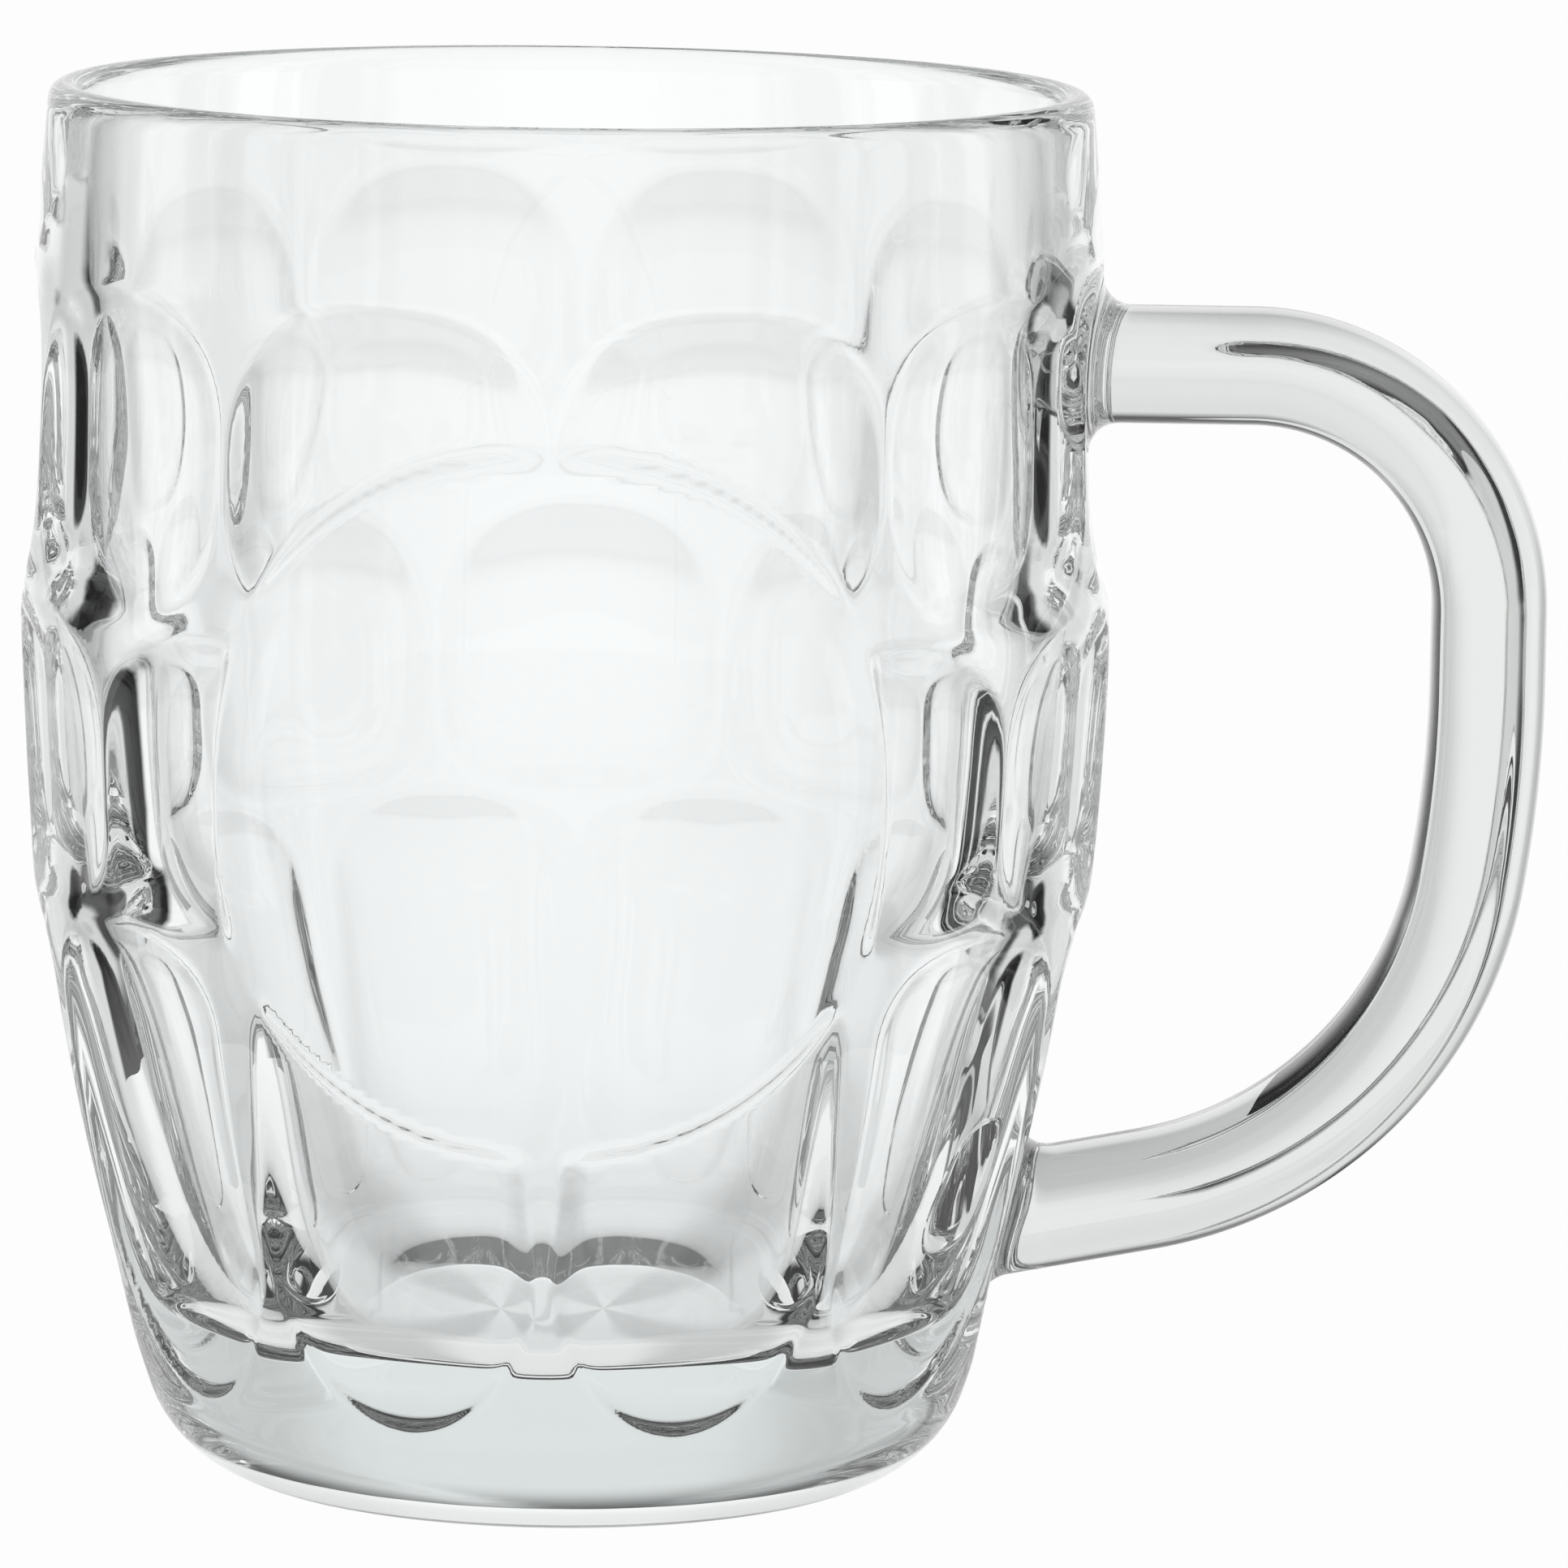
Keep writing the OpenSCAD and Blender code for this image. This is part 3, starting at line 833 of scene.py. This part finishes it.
def buildWorld():
    # White room, darker overhead and behind the camera, for the glass to draw its edges
    # with. Camera rays see plain white.
    world = bpy.data.worlds.new("studio")
    bpy.context.scene.world = world
    world.use_nodes = True
    nodes, links = world.node_tree.nodes, world.node_tree.links
    place = nodes.new("ShaderNodeTexCoord")
    parts = nodes.new("ShaderNodeSeparateXYZ")
    links.new(place.outputs["Generated"], parts.inputs[0])
    up = parts.outputs["Z"]
    wall = smoothNode(nodes, links, up, 0.0, studio["wallStart"], studio["farTone"],
                      studio["wallTone"])
    front = smoothNode(nodes, links, parts.outputs["Y"], -studio["backTurn"], studio["backTurn"],
                       studio["backShare"], 1.0)
    wall = mathNode(nodes, links, "MULTIPLY", wall, front)
    room = smoothNode(nodes, links, up, studio["roofStart"], studio["roofEnd"], wall,
                      studio["roofTone"])
    room = mathNode(nodes, links, "MULTIPLY", room, litShare(nodes, links, parts))
    ray = nodes.new("ShaderNodeLightPath")
    shown = mathNode(nodes, links, "MAXIMUM", room, ray.outputs["Is Camera Ray"])
    links.new(shown, nodes["Background"].inputs["Color"])


camera = {
    "distance": 919.2,  # from the mug's axis, in millimetres
    "height": 196.8,
    "azimuth": 1.8,  # towards the handle, in degrees
    "yaw": 1.20029,
    "pitch": 8.40437,
    "roll": 0.84609,
    "lens": 243.745,  # focal length in millimetres on the sensor
    "sensor": 36,
    "nearest": 0.05,  # metres at which it starts and ends to see
    "farthest": 20,
}


def buildCamera():
    yaw, pitch, roll = (math.radians(camera[key]) for key in ("yaw", "pitch", "roll"))
    level = math.cos(pitch)
    forward = np.array([math.sin(yaw) * level, math.cos(yaw) * level, -math.sin(pitch)])
    right = np.array([math.cos(yaw), -math.sin(yaw), 0])
    up = np.cross(right, forward)
    rolledRight = right * math.cos(roll) + up * math.sin(roll)
    rolledUp = up * math.cos(roll) - right * math.sin(roll)
    spin = np.array(Matrix.Rotation(math.radians(camera["azimuth"]), 3, "Z"))
    basis = spin @ np.stack([rolledRight, rolledUp, -forward], axis=1)
    place = spin @ np.array([0, -camera["distance"], camera["height"]]) * mm
    data = bpy.data.cameras.new("photoCamera")
    data.sensor_width = camera["sensor"]
    data.lens = camera["lens"]
    data.clip_start = camera["nearest"]
    data.clip_end = camera["farthest"]
    viewer = addObject("photoCamera", data)
    viewer.matrix_world = Matrix.Translation(place) @ Matrix(basis.tolist()).to_4x4()
    bpy.context.scene.camera = viewer


buildFloor()
buildCards()
buildWorld()
buildCamera()
bpy.context.scene.view_settings.view_transform = "Standard"
for limit in ("max_bounces", "glossy_bounces", "transmission_bounces"):
    setattr(bpy.context.scene.cycles, limit, glass["bounces"])
print("stage built")
